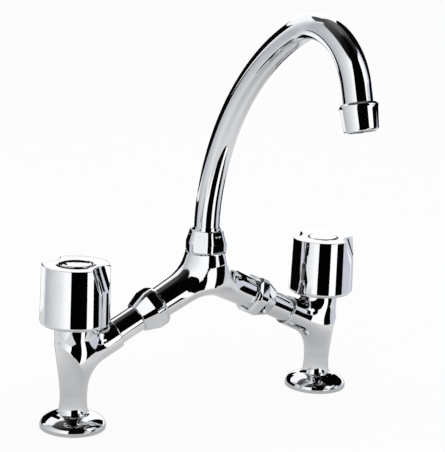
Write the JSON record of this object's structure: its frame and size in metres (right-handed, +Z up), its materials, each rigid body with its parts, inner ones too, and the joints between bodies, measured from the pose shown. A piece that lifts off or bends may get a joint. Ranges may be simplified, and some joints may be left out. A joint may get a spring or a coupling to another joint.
{
  "type": "bridge basin mixer",
  "caption": "Chrome bridge basin mixer: pillar valves with drum handles, a Y-shaped yoke on sloping slide tubes and a tall swivel swan-neck spout with aerator.",
  "frame": {"origin": "midway between the two pillar axes, at deck level (underside of the flanges)", "axes": "+Z up along the spout's swivel axis, +X along the bridge towards the right pillar as the user sees it, -Y towards the user"},
  "size_m": [0.2464, 0.1945, 0.283],
  "materials": {
    "chrome": "mirror-bright chromium plate",
    "brass": "plain turned brass",
    "steel": "plain stainless steel",
    "black_rubber": "matt black rubber",
    "fibre": "red fibre washer",
    "white_plastic": "moulded low-friction plastic",
    "grey_plastic": "moulded plastic"
  },
  "bodies": {
    "mixer_body": {"left_pillar_body": "chrome", "left_base_seal": "black_rubber", "left_bonnet": "brass", "left_bonnet_washer": "fibre", "left_slide_tube": "chrome", "left_slide_tube_seal": "black_rubber", "left_union_nut": "chrome", "left_union_seal": "black_rubber", "right_pillar_body": "chrome", "right_base_seal": "black_rubber", "right_bonnet": "brass", "right_bonnet_washer": "fibre", "right_slide_tube": "chrome", "right_slide_tube_seal": "black_rubber", "right_union_nut": "chrome", "right_union_seal": "black_rubber", "bridge_yoke": "chrome", "swivel_nut": "chrome", "swivel_bearing_rings": "white_plastic"},
    "left_handle_set": {"left_handle": "chrome", "left_handle_insert": "white_plastic", "left_handle_screw": "steel", "left_handle_button": "chrome", "left_spindle": "brass", "left_spindle_o_rings": "black_rubber", "left_spindle_clip": "steel"},
    "right_handle_set": {"right_handle": "chrome", "right_handle_insert": "white_plastic", "right_handle_screw": "steel", "right_handle_button": "chrome", "right_spindle": "brass", "right_spindle_o_rings": "black_rubber", "right_spindle_clip": "steel"},
    "left_valve": {"left_valve_carrier": "brass", "left_valve_washer": "black_rubber", "left_valve_washer_nut": "brass"},
    "right_valve": {"right_valve_carrier": "brass", "right_valve_washer": "black_rubber", "right_valve_washer_nut": "brass"},
    "spout": {"spout_spigot": "chrome", "spout_o_rings": "black_rubber", "spout_tube": "chrome", "spout_end_bush": "brass", "aerator_shell": "chrome", "aerator_washer": "black_rubber", "aerator_cartridge": "grey_plastic", "aerator_screens": "steel", "aerator_outlet_plate": "grey_plastic"}
  },
  "joints": [
    {"name": "left_handle_turn", "type": "hinge", "parent": "mixer_body", "child": "left_handle_set", "pos_m": [-0.1, 0, 0], "axis": [0, 0, 1], "range_deg": [0, 540]},
    {"name": "right_handle_turn", "type": "hinge", "parent": "mixer_body", "child": "right_handle_set", "pos_m": [0.1, 0, 0], "axis": [0, 0, 1], "range_deg": [0, 540]},
    {"name": "left_valve_lift", "type": "slide", "parent": "mixer_body", "child": "left_valve", "axis": [0, 0, 1], "range_m": [0, 0.0035]},
    {"name": "right_valve_lift", "type": "slide", "parent": "mixer_body", "child": "right_valve", "axis": [0, 0, 1], "range_m": [0, 0.0035]},
    {"name": "spout_swivel", "type": "hinge", "parent": "mixer_body", "child": "spout", "pos_m": [0, 0, 0.1], "axis": [0, 0, 1], "continuous": true}
  ],
  "couplings": [
    {"joint": "left_valve_lift", "follows": "left_handle_turn", "m_per_rad": 0.000371},
    {"joint": "right_valve_lift", "follows": "right_handle_turn", "m_per_rad": 0.000371}
  ]
}
